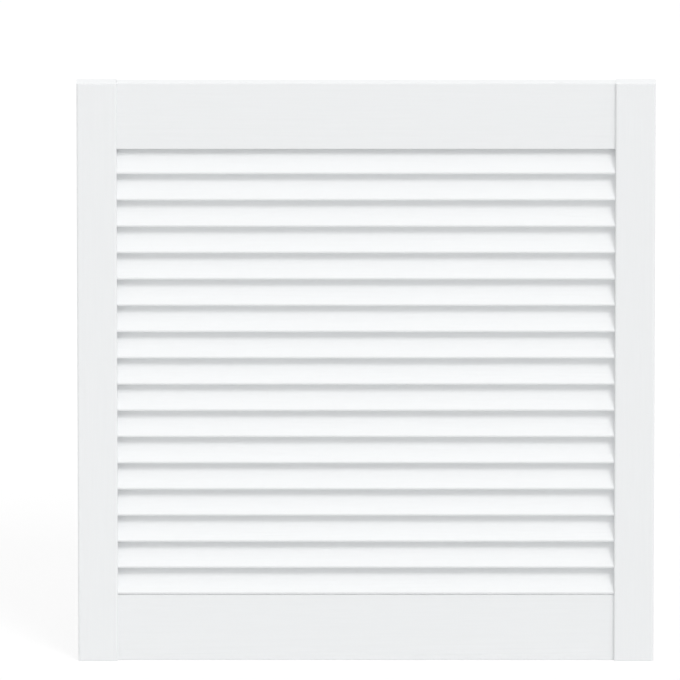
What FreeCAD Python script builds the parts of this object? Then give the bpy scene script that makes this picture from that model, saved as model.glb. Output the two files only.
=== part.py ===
import FreeCAD, Part
import math
import os
import re
import Sketcher

SHEET = "Dimensions"

# Upright part of a unit normal beyond which a face counts as the end of an upright piece.
NEARLY_LEVEL = 0.99

# Driving sizes of the door in millimetres, the tilt in degrees from upright, and the number of slats.
SIZES = {
    "door_height": 615,
    "door_width": 594,
    "stile_width": 41,
    "stile_thickness": 21,
    "stile_edge_radius": 2,
    "stile_end_easing": 0.6,
    "rail_height": 70,
    "rail_thickness": 13,
    "rail_edge_radius": 0.8,
    "tenon_length": 15,
    "tenon_height": 50,
    "tenon_thickness": 7,
    "slat_width": 29,
    "slat_thickness": 4,
    "slat_tilt": 30,
    "slat_count": 17,
    "slat_end_gap": 0.8,
    "housing_depth": 8,
    "fit_clearance": 0.1,
    "glue_space": 0.4,
}

# Lengths that follow from the driving sizes.
SLAT_CORE = "([slat_width] - [slat_thickness])"
SLAT_RUN = f"({SLAT_CORE} * sin([slat_tilt] * 1 deg))"
SLAT_RISE = f"({SLAT_CORE} * cos([slat_tilt] * 1 deg))"
CLEAR_WIDTH = "([door_width] - 2 * [stile_width])"
CLEAR_HEIGHT = "([door_height] - 2 * [rail_height])"
RAIL_OFFSET = "(([door_height] - [rail_height]) / 2)"
SLAT_SPREAD = f"({CLEAR_HEIGHT} - {SLAT_RISE} - [slat_thickness] - 2 * [slat_end_gap])"
SLAT_COUNT = "round([slat_count])"

doc = FreeCAD.newDocument("LouvredDoor")
sheet = doc.addObject("Spreadsheet::Sheet", SHEET)
for row, (alias, value) in enumerate(SIZES.items(), start=1):
    sheet.set(f"A{row}", alias)
    sheet.set(f"B{row}", str(value))
    sheet.setAlias(f"B{row}", alias)
doc.recompute()


def cells(formula):
    """Turn every [size] of a formula into a reference to its cell."""
    return re.sub(r"\[(\w+)\]", rf"{SHEET}.\1", formula)


def number(formula):
    """Present value of a formula."""
    return float(sheet.evalExpression(cells(formula)))


def bind(item, path, formula):
    """Let a property follow a formula."""
    item.setExpression(path, cells(formula))


def origin_item(body, role):
    """Plane or axis of a body's own origin."""
    return next(item for item in body.Origin.OriginFeatures if item.Role == role)


def new_body(label, x="0", z="0"):
    """Body of one sub-part, standing where the formulas say."""
    body = doc.addObject("PartDesign::Body", label)
    body.Label = label
    bind(body, "Placement.Base.x", x)
    bind(body, "Placement.Base.z", z)
    return body


def new_sketch(body, name, role, up="0", out="0"):
    """Sketch on an origin plane, shifted up in that plane and along its normal."""
    sketch = body.newObject("Sketcher::SketchObject", name)
    sketch.AttachmentSupport = (origin_item(body, role), [""])
    sketch.MapMode = "FlatFace"
    bind(sketch, "AttachmentOffset.Base.y", up)
    bind(sketch, "AttachmentOffset.Base.z", out)
    return sketch


def hold(sketch, kind, places, formula):
    """Add a dimension that follows a formula."""
    index = sketch.addConstraint(Sketcher.Constraint(kind, *places, number(formula)))
    bind(sketch, f"Constraints[{index}]", formula)


def draw_line(sketch, start, end):
    """Straight line between two points of a sketch."""
    start = FreeCAD.Vector(*start, 0)
    end = FreeCAD.Vector(*end, 0)
    return sketch.addGeometry(Part.LineSegment(start, end), False)


def draw_arc(sketch, centre, radius, first, last):
    """Arc of a sketch, its two angles in degrees."""
    circle = Part.Circle(FreeCAD.Vector(*centre, 0), FreeCAD.Vector(0, 0, 1), radius)
    return sketch.addGeometry(Part.ArcOfCircle(circle, math.radians(first), math.radians(last)), False)


def draw_rectangle(sketch, wide, tall):
    """Square-cornered rectangle about the sketch's origin."""
    x = number(wide) / 2
    y = number(tall) / 2
    corners = [(-x, -y), (x, -y), (x, y), (-x, y)]
    lines = [draw_line(sketch, corners[i], corners[(i + 1) % 4]) for i in range(4)]
    for i in range(4):
        sketch.addConstraint(Sketcher.Constraint("Coincident", lines[i], 2, lines[(i + 1) % 4], 1))
        direction = "Horizontal" if i % 2 == 0 else "Vertical"
        sketch.addConstraint(Sketcher.Constraint(direction, lines[i]))
    sketch.addConstraint(Sketcher.Constraint("Symmetric", lines[0], 1, lines[2], 1, -1, 1))
    hold(sketch, "DistanceX", (lines[0], 1, lines[0], 2), wide)
    hold(sketch, "DistanceY", (lines[1], 1, lines[1], 2), tall)


def draw_eased_rectangle(sketch, wide, tall, radius):
    """Round-cornered rectangle about the sketch's origin."""
    r = number(radius)
    x = number(wide) / 2 - r
    y = number(tall) / 2 - r
    centres = [(-x, -y), (x, -y), (x, y), (-x, y)]
    arcs = [draw_arc(sketch, centres[i], r, 180 + 90 * i, 270 + 90 * i) for i in range(4)]
    outward = [(0, -r), (r, 0), (0, r), (-r, 0)]
    for i in range(4):
        after = (i + 1) % 4
        start = (centres[i][0] + outward[i][0], centres[i][1] + outward[i][1])
        end = (centres[after][0] + outward[i][0], centres[after][1] + outward[i][1])
        line = draw_line(sketch, start, end)
        sketch.addConstraint(Sketcher.Constraint("Tangent", arcs[i], 2, line, 1))
        sketch.addConstraint(Sketcher.Constraint("Tangent", line, 2, arcs[after], 1))
        direction = "Horizontal" if i % 2 == 0 else "Vertical"
        sketch.addConstraint(Sketcher.Constraint(direction, line))
        if i:
            sketch.addConstraint(Sketcher.Constraint("Equal", arcs[0], arcs[i]))
    sketch.addConstraint(Sketcher.Constraint("Symmetric", arcs[0], 3, arcs[2], 3, -1, 1))
    hold(sketch, "Radius", (arcs[0],), radius)
    hold(sketch, "DistanceX", (arcs[0], 3, arcs[1], 3), f"{wide} - 2 * {radius}")
    hold(sketch, "DistanceY", (arcs[1], 3, arcs[2], 3), f"{tall} - 2 * {radius}")


def draw_slat_section(sketch, radius):
    """Leaning round-ended section of a slat, front end low, about the sketch's origin."""
    r = number(radius)
    tilt = number("[slat_tilt]")
    x = number(SLAT_RUN) / 2
    y = number(SLAT_RISE) / 2
    side = (r * math.cos(math.radians(tilt)), -r * math.sin(math.radians(tilt)))
    high = draw_arc(sketch, (x, y), r, -tilt, 180 - tilt)
    low = draw_arc(sketch, (-x, -y), r, 180 - tilt, 360 - tilt)
    front = draw_line(sketch, (x - side[0], y - side[1]), (-x - side[0], -y - side[1]))
    back = draw_line(sketch, (-x + side[0], -y + side[1]), (x + side[0], y + side[1]))
    for first, second in ((high, front), (front, low), (low, back), (back, high)):
        sketch.addConstraint(Sketcher.Constraint("Tangent", first, 2, second, 1))
    sketch.addConstraint(Sketcher.Constraint("Equal", high, low))
    sketch.addConstraint(Sketcher.Constraint("Symmetric", low, 3, high, 3, -1, 1))
    hold(sketch, "Radius", (high,), radius)
    hold(sketch, "DistanceX", (low, 3, high, 3), SLAT_RUN)
    hold(sketch, "DistanceY", (low, 3, high, 3), SLAT_RISE)


def add_pad(body, name, sketch, length):
    """Solid grown evenly to both sides of a sketch."""
    pad = body.newObject("PartDesign::Pad", name)
    pad.Profile = sketch
    pad.SideType = "Symmetric"
    bind(pad, "Length", length)
    sketch.Visibility = False
    return pad


def add_pocket(body, name, sketch, depth, forward):
    """Blind recess, cut along the sketch's normal if forward, else against it."""
    pocket = body.newObject("PartDesign::Pocket", name)
    pocket.Profile = sketch
    pocket.Reversed = forward
    bind(pocket, "Length", depth)
    sketch.Visibility = False
    return pocket


def ease_ends(body, name, base, radius):
    """Round the edges of both end faces of an upright piece."""
    doc.recompute()
    ends = []
    for index, face in enumerate(base.Shape.Faces, start=1):
        if abs(face.normalAt(0, 0).z) > NEARLY_LEVEL:
            ends.append(f"Face{index}")
    fillet = body.newObject("PartDesign::Fillet", name)
    fillet.Base = (base, ends)
    bind(fillet, "Radius", radius)


def make_stile(label, x, inward):
    """Upright with a mortise for each rail and a row of leaning slots for the slats."""
    body = new_body(label, x=x)
    section = new_sketch(body, f"{label}_section", "XY_Plane")
    draw_eased_rectangle(section, "[stile_width]", "[stile_thickness]", "[stile_edge_radius]")
    post = add_pad(body, f"{label}_post", section, "[door_height]")
    ease_ends(body, f"{label}_ends", post, "[stile_end_easing]")

    inner_face = f"{inward} * [stile_width] / 2"
    against_normal = inward > 0
    slot = new_sketch(body, f"{label}_slot_outline", "YZ_Plane", up=f"-{SLAT_SPREAD} / 2", out=inner_face)
    draw_slat_section(slot, "[slat_thickness] / 2 + [fit_clearance]")
    housing = add_pocket(body, f"{label}_slot", slot, "[housing_depth]", not against_normal)
    row = body.newObject("PartDesign::LinearPattern", f"{label}_slots")
    row.Originals = [housing]
    row.Direction = (origin_item(body, "Z_Axis"), [""])
    row.Mode = "Extent"
    bind(row, "Length", SLAT_SPREAD)
    bind(row, "Occurrences", SLAT_COUNT)
    body.Tip = row

    outline = new_sketch(body, f"{label}_mortise_outline", "YZ_Plane", up=RAIL_OFFSET, out=inner_face)
    draw_rectangle(outline, "[tenon_thickness] + 2 * [fit_clearance]", "[tenon_height] + 2 * [fit_clearance]")
    depth = "[tenon_length] + [glue_space]"
    mortise = add_pocket(body, f"{label}_mortise", outline, depth, not against_normal)
    pair = body.newObject("PartDesign::Mirrored", f"{label}_mortises")
    pair.Originals = [mortise]
    pair.MirrorPlane = (origin_item(body, "XY_Plane"), [""])
    body.Tip = pair
    return body


def make_rail(label, z):
    """Cross-piece with a stub tenon at each end."""
    body = new_body(label, x="[door_width] / 2", z=z)
    section = new_sketch(body, f"{label}_section", "YZ_Plane")
    draw_eased_rectangle(section, "[rail_thickness]", "[rail_height]", "[rail_edge_radius]")
    add_pad(body, f"{label}_board", section, CLEAR_WIDTH)
    core = new_sketch(body, f"{label}_tenon_section", "YZ_Plane")
    draw_rectangle(core, "[tenon_thickness]", "[tenon_height]")
    body.Tip = add_pad(body, f"{label}_tenons", core, f"{CLEAR_WIDTH} + 2 * [tenon_length]")
    return body


def make_slat(label, index):
    """Leaning slat, its ends seated in the slots of both stiles."""
    z = f"{SLAT_SPREAD} * ({index} / ({SLAT_COUNT} - 1) - 0.5)"
    body = new_body(label, x="[door_width] / 2", z=z)
    section = new_sketch(body, f"{label}_section", "YZ_Plane")
    draw_slat_section(section, "[slat_thickness] / 2")
    length = f"{CLEAR_WIDTH} + 2 * ([housing_depth] - [glue_space])"
    body.Tip = add_pad(body, f"{label}_board", section, length)
    return body


parts = [
    make_stile("left_stile", "[stile_width] / 2", 1),
    make_stile("right_stile", "[door_width] - [stile_width] / 2", -1),
    make_rail("top_rail", RAIL_OFFSET),
    make_rail("bottom_rail", f"-{RAIL_OFFSET}"),
]
for index in range(int(number(SLAT_COUNT))):
    parts.append(make_slat(f"slat_{index + 1:02d}", index))

doc.recompute()
for item in doc.Objects:
    if "Invalid" in item.State or "Error" in item.State:
        raise RuntimeError(f"{item.Label} did not build: {item.State}")
for body in parts:
    if body.Shape.isNull() or not body.Shape.isValid():
        raise RuntimeError(f"{body.Label} has no valid shape")

os.makedirs("parts", exist_ok=True)
for body in parts:
    body.Shape.exportStep(f"parts/{body.Label}.step")
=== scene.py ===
import math
import random

import bpy
from mathutils import Euler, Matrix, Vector


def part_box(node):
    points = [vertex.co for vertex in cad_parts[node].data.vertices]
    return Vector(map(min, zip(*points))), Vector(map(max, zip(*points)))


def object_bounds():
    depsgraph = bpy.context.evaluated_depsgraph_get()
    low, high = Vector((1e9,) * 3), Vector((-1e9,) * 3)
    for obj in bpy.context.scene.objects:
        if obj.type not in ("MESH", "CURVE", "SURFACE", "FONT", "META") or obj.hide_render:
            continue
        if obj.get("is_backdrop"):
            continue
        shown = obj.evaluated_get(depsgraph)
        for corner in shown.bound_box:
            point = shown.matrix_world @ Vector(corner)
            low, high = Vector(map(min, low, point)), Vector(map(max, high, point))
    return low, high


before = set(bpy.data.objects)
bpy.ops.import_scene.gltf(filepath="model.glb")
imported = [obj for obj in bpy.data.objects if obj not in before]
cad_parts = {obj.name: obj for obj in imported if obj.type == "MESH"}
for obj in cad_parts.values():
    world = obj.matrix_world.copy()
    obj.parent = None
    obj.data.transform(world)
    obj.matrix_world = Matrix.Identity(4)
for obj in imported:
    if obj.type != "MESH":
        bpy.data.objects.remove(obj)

CAD_LOW, CAD_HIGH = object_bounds()
CENTRE = (CAD_LOW + CAD_HIGH) / 2
DOOR_WIDTH = CAD_HIGH.x - CAD_LOW.x

# The picture is square, and the door's middle stands a little right of and below the picture's.
PICTURE = 680
DOOR_WIDTH_PIXELS = 577
DOOR_MIDDLE_PIXEL = (366, 371)

# Camera: degrees above the door's middle, metres away from it, metres in sight, millimetres of sensor.
CAMERA_ELEVATION = 15
CAMERA_DISTANCE = 20
CAMERA_SIGHT = 40
SENSOR = 36

WHITE = (1, 1, 1, 1)
BLACK = (0, 0, 0, 1)

# Strength at which light shows as plain white, and strength of the sky on the door.
PLAIN_STRENGTH = 1
SKY_STRENGTH = 0.39

# Half the floor's side in metres.
FLOOR_REACH = 25
# Colour with which the floor lights the door, and how far it shows as plain white instead of shaded.
FLOOR_BOUNCE = (0.82, 0.82, 0.82, 1)
FLOOR_FADE = 0.7

# Lamps: strength, degrees right of the front, degrees above the floor, degrees of softness, shine or none.
LAMPS = {
    "key": (0.87, 30, 42, 20, True),
    "broad": (1.48, 20, 71, 120, True),
    "fill": (1, 215, 10, 40, False),
}

# White paint, thin over the grain and then full: place on the scale of the fibres, colour.
PAINT = ((0.3, (0.826, 0.838, 0.845, 1)), (0.7, (0.838, 0.850, 0.857, 1)))
# How rough the paint is, from thin to full.
ROUGHNESS = (0.32, 0.46)

# Growth rings of the pine under the paint, in metres, and the share of a ring that rises to the late wood.
RING_WIDTH = 0.0032
RING_RELIEF = 0.00004
LATE_WOOD = 0.72
# Wobble of the rings along the board: how strong it is, its length in metres and its finer waves.
WOBBLE = 5
WOBBLE_LENGTH = 0.05
WOBBLE_DETAIL = 2
# Radians that a ring pattern of scale 1 turns through in a metre.
RING_TURN = 20

# Fibres of the wood and unevenness of the sprayed paint, in metres, and how fine their patterns get.
FIBRE_WIDTH = 0.0014
FIBRE_RELIEF = 0.000015
FIBRE_DETAIL = 4
PEEL_WIDTH = 0.002
PEEL_RELIEF = 0.000004
PEEL_DETAIL = 1

# Scale of the grain along the board.
GRAIN_STRETCH = 0.03
# The log's middle leans to the board, in radians, and lies beside it and in front or behind, in metres.
LOG_LEAN = 0.02
PITH_SIDE = 0.02
PITH_DEPTH = (0.03, 0.07)


def direction(azimuth, elevation):
    """Unit vector to a place seen from the door, azimuth 0 in front of it and 90 to its right."""
    a = math.radians(azimuth)
    e = math.radians(elevation)
    return Vector((math.sin(a) * math.cos(e), -math.cos(a) * math.cos(e), math.sin(e)))


def link_object(name, data):
    """New object in the scene."""
    item = bpy.data.objects.new(name, data)
    bpy.context.scene.collection.objects.link(item)
    return item


def make_camera():
    """Long-lens camera in front of the door, looking down on it."""
    data = bpy.data.cameras.new("camera")
    camera = link_object("camera", data)
    back = direction(0, CAMERA_ELEVATION)
    metres_per_pixel = DOOR_WIDTH / DOOR_WIDTH_PIXELS
    data.sensor_width = SENSOR
    data.lens = SENSOR * CAMERA_DISTANCE / (PICTURE * metres_per_pixel)
    data.clip_end = CAMERA_SIGHT
    camera.rotation_mode = "QUATERNION"
    camera.rotation_quaternion = (-back).to_track_quat("-Z", "Y")
    right = camera.rotation_quaternion @ Vector((1, 0, 0))
    up = camera.rotation_quaternion @ Vector((0, 1, 0))
    across = (PICTURE / 2 - DOOR_MIDDLE_PIXEL[0]) * metres_per_pixel
    raised = (DOOR_MIDDLE_PIXEL[1] - PICTURE / 2) * metres_per_pixel
    camera.location = CENTRE + back * CAMERA_DISTANCE + right * across + up * raised
    bpy.context.scene.camera = camera


def empty_tree(owner):
    """Node tree of a world or a material, with nothing in it."""
    owner.use_nodes = True
    owner.node_tree.nodes.clear()
    return owner.node_tree


def add_glow(tree, kind, strength):
    """White light of a given strength."""
    glow = tree.nodes.new(kind)
    glow.inputs["Color"].default_value = WHITE
    glow.inputs["Strength"].default_value = strength
    return glow


def add_matt(tree, colour):
    """Matt surface of one colour."""
    matt = tree.nodes.new("ShaderNodeBsdfDiffuse")
    matt.inputs["Color"].default_value = colour
    return matt


def add_mix(tree, first, second):
    """Blend of two shaders."""
    mix = tree.nodes.new("ShaderNodeMixShader")
    tree.links.new(first.outputs[0], mix.inputs[1])
    tree.links.new(second.outputs[0], mix.inputs[2])
    return mix


def add_seen(tree):
    """1 for rays that show a surface, directly or in a reflection, 0 for rays that only light the door."""
    path = tree.nodes.new("ShaderNodeLightPath")
    seen = path.outputs["Is Camera Ray"]
    for ray in ("Is Glossy Ray", "Is Transmission Ray"):
        either = tree.nodes.new("ShaderNodeMath")
        either.operation = "MAXIMUM"
        tree.links.new(seen, either.inputs[0])
        tree.links.new(path.outputs[ray], either.inputs[1])
        seen = either.outputs[0]
    return seen


def close_tree(tree, kind, lighting, shown):
    """Output of a tree that lights the door with one shader and shows another."""
    mix = add_mix(tree, lighting, shown)
    tree.links.new(add_seen(tree), mix.inputs["Fac"])
    output = tree.nodes.new(kind)
    tree.links.new(mix.outputs[0], output.inputs["Surface"])


def make_sky():
    """Even sky that shows as a white backdrop."""
    world = bpy.data.worlds.new("sky")
    bpy.context.scene.world = world
    tree = empty_tree(world)
    sky = add_glow(tree, "ShaderNodeBackground", SKY_STRENGTH)
    backdrop = add_glow(tree, "ShaderNodeBackground", PLAIN_STRENGTH)
    close_tree(tree, "ShaderNodeOutputWorld", sky, backdrop)


def make_lamps():
    """Soft lamps from the upper right, and a low one behind the door that leaves no shine on its top."""
    for name, (strength, azimuth, elevation, softness, shine) in LAMPS.items():
        lamp = bpy.data.lights.new(name, "SUN")
        lamp.energy = strength
        lamp.angle = math.radians(softness)
        item = link_object(name, lamp)
        item.rotation_mode = "QUATERNION"
        item.rotation_quaternion = direction(azimuth, elevation).to_track_quat("Z", "Y")
        item.visible_glossy = shine


def make_floor():
    """White floor under the door, which fades into the backdrop and takes a faint shadow."""
    mesh = bpy.data.meshes.new("floor")
    r = FLOOR_REACH
    z = CAD_LOW.z
    mesh.from_pydata([(-r, -r, z), (r, -r, z), (r, r, z), (-r, r, z)], [], [(0, 1, 2, 3)])
    floor = link_object("floor", mesh)
    material = bpy.data.materials.new("floor_white")
    tree = empty_tree(material)
    lighting = add_matt(tree, FLOOR_BOUNCE)
    shaded = add_matt(tree, WHITE)
    plain = add_glow(tree, "ShaderNodeEmission", PLAIN_STRENGTH)
    shown = add_mix(tree, shaded, plain)
    shown.inputs["Fac"].default_value = FLOOR_FADE
    close_tree(tree, "ShaderNodeOutputMaterial", lighting, shown)
    mesh.materials.append(material)
    floor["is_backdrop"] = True


def add_mapping(tree, vector, location=(0, 0, 0), rotation=(0, 0, 0), scale=(1, 1, 1)):
    """Places on a board, scaled, turned and moved."""
    mapping = tree.nodes.new("ShaderNodeMapping")
    mapping.inputs["Location"].default_value = location
    mapping.inputs["Rotation"].default_value = rotation
    mapping.inputs["Scale"].default_value = scale
    tree.links.new(vector, mapping.inputs["Vector"])
    return mapping.outputs["Vector"]


def add_noise(tree, vector, size, detail):
    """Uneven pattern of a given size."""
    noise = tree.nodes.new("ShaderNodeTexNoise")
    noise.inputs["Scale"].default_value = 1 / size
    noise.inputs["Detail"].default_value = detail
    tree.links.new(vector, noise.inputs["Vector"])
    return noise.outputs["Fac"]


def add_rings(tree, vector, along):
    """Growth rings round the log's middle, each rising to its late wood and dropping behind it."""
    rings = tree.nodes.new("ShaderNodeTexWave")
    scale = math.tau / (RING_TURN * RING_WIDTH)
    rings.wave_type = "RINGS"
    rings.rings_direction = along
    rings.wave_profile = "SAW"
    rings.inputs["Scale"].default_value = scale
    rings.inputs["Distortion"].default_value = WOBBLE
    rings.inputs["Detail"].default_value = WOBBLE_DETAIL
    rings.inputs["Detail Scale"].default_value = 1 / (WOBBLE_LENGTH * scale)
    tree.links.new(vector, rings.inputs["Vector"])
    ridge = tree.nodes.new("ShaderNodeValToRGB")
    ridge.color_ramp.interpolation = "EASE"
    ridge.color_ramp.elements[0].color = BLACK
    ridge.color_ramp.elements[1].color = BLACK
    ridge.color_ramp.elements.new(LATE_WOOD).color = WHITE
    tree.links.new(rings.outputs["Fac"], ridge.inputs["Fac"])
    return ridge.outputs["Color"]


def add_relief(tree, height, depth, under=None):
    """Relief of a given depth in metres, on top of the relief under it."""
    bump = tree.nodes.new("ShaderNodeBump")
    bump.inputs["Distance"].default_value = depth
    tree.links.new(height, bump.inputs["Height"])
    if under:
        tree.links.new(under, bump.inputs["Normal"])
    return bump.outputs["Normal"]


def painted_pine(name, centre, along):
    """Satin white paint on a board of its own cut, whose rings and fibres show faintly through it."""
    pick = random.Random(name)
    lean = Euler([pick.uniform(-LOG_LEAN, LOG_LEAN) for axis in "XYZ"])
    side = pick.uniform(-PITH_SIDE, PITH_SIDE)
    depth = pick.choice((-1, 1)) * pick.uniform(*PITH_DEPTH)
    pith = Vector((0, depth, side)) if along == "X" else Vector((side, depth, 0))
    stretch = (GRAIN_STRETCH, 1, 1) if along == "X" else (1, 1, GRAIN_STRETCH)

    material = bpy.data.materials.new(f"paint_{name}")
    material.use_nodes = True
    tree = material.node_tree
    shader = tree.nodes["Principled BSDF"]
    place = tree.nodes.new("ShaderNodeTexCoord").outputs["Object"]
    log = add_mapping(tree, place, location=pith - lean.to_matrix() @ centre, rotation=lean)
    grain = add_mapping(tree, log, scale=stretch)
    rings = add_rings(tree, grain, along)
    fibre = add_noise(tree, grain, FIBRE_WIDTH, FIBRE_DETAIL)
    peel = add_noise(tree, place, PEEL_WIDTH, PEEL_DETAIL)

    tone = tree.nodes.new("ShaderNodeValToRGB")
    for stop, (position, colour) in zip(tone.color_ramp.elements, PAINT):
        stop.position = position
        stop.color = colour
    tree.links.new(fibre, tone.inputs["Fac"])
    tree.links.new(tone.outputs["Color"], shader.inputs["Base Color"])

    gloss = tree.nodes.new("ShaderNodeMapRange")
    gloss.inputs["To Min"].default_value = ROUGHNESS[0]
    gloss.inputs["To Max"].default_value = ROUGHNESS[1]
    tree.links.new(fibre, gloss.inputs["Value"])
    tree.links.new(gloss.outputs["Result"], shader.inputs["Roughness"])

    normal = add_relief(tree, rings, RING_RELIEF)
    normal = add_relief(tree, fibre, FIBRE_RELIEF, under=normal)
    normal = add_relief(tree, peel, PEEL_RELIEF, under=normal)
    tree.links.new(normal, shader.inputs["Normal"])
    return material


make_camera()
make_sky()
make_lamps()
make_floor()

for name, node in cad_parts.items():
    low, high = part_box(name)
    along = "Z" if name.endswith("stile") else "X"
    node.data.materials.clear()
    node.data.materials.append(painted_pine(name, (Vector(low) + Vector(high)) / 2, along))

bpy.context.scene.view_settings.view_transform = "Standard"

low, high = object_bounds()
